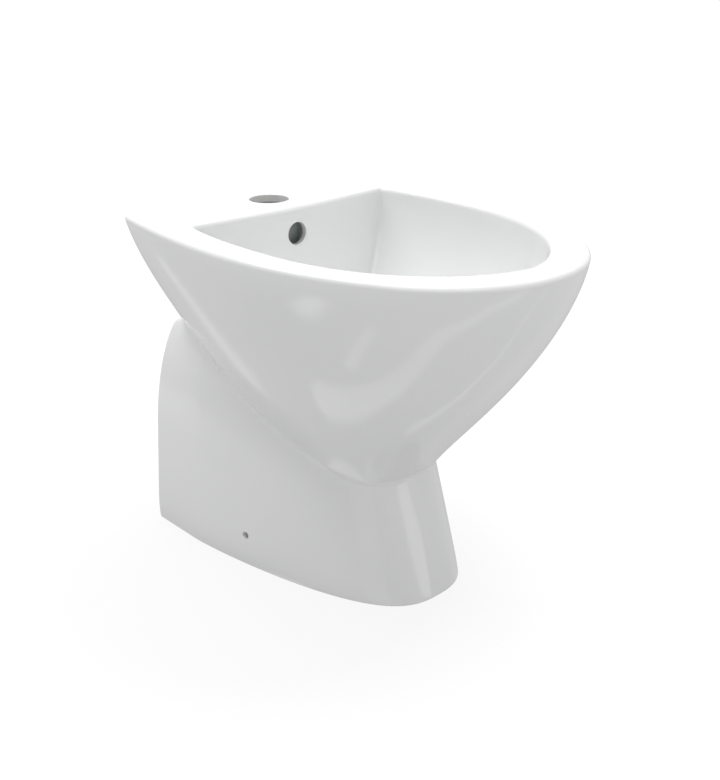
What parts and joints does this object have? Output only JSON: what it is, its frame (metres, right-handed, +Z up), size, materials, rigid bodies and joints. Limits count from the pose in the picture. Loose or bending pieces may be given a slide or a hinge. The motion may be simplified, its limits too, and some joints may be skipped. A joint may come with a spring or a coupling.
{
  "type": "floor standing bidet",
  "caption": "Floor standing glazed china bidet with an open basin, tap hole, overflow, push-open waste plug and a bottle trap in its hollow pedestal.",
  "frame": {"origin": "on the floor, below the middle of the overall box", "axes": "+X to the right of a person who sits facing the wall, -Y out into the room (front of the bowl), +Y towards the wall, +Z up; x = 0 is the middle plane"},
  "size_m": [0.36, 0.5, 0.4],
  "materials": {
    "china": "white vitreous china with a glossy glaze",
    "china_waste": "bright chrome plate on brass",
    "steel_wire": "drawn stainless wire",
    "cartridge_plastic": "satin grey moulded plastic",
    "rubber": "black rubber",
    "white_plastic": "white moulded polypropylene"
  },
  "bodies": {
    "bidet": {"ceramic_body": "china", "waste_body": "china_waste", "flange_seal": "rubber", "cone_washer": "rubber", "slip_washer": "white_plastic", "back_nut": "china_waste", "click_cartridge": "cartridge_plastic", "click_spring": "steel_wire", "waste_union_nut": "white_plastic", "waste_union_seal": "rubber", "dip_tube": "white_plastic", "bottle_nut": "white_plastic", "bottle_seal": "rubber", "trap_bottle": "white_plastic", "trap_cup": "white_plastic", "cup_seal": "rubber", "outlet_nut": "white_plastic", "outlet_seal": "rubber", "outlet_pipe": "white_plastic"},
    "plug": {"click_plunger": "cartridge_plastic", "plug_cap": "china_waste", "plug_seal": "rubber"}
  },
  "joints": [
    {"name": "plug_press", "type": "slide", "parent": "bidet", "child": "plug", "axis": [0, 0, -1], "range_m": [0, 0.008], "stiffness_N_per_m": 400, "springref_m": -0.01, "deforming": ["click_spring"]}
  ]
}
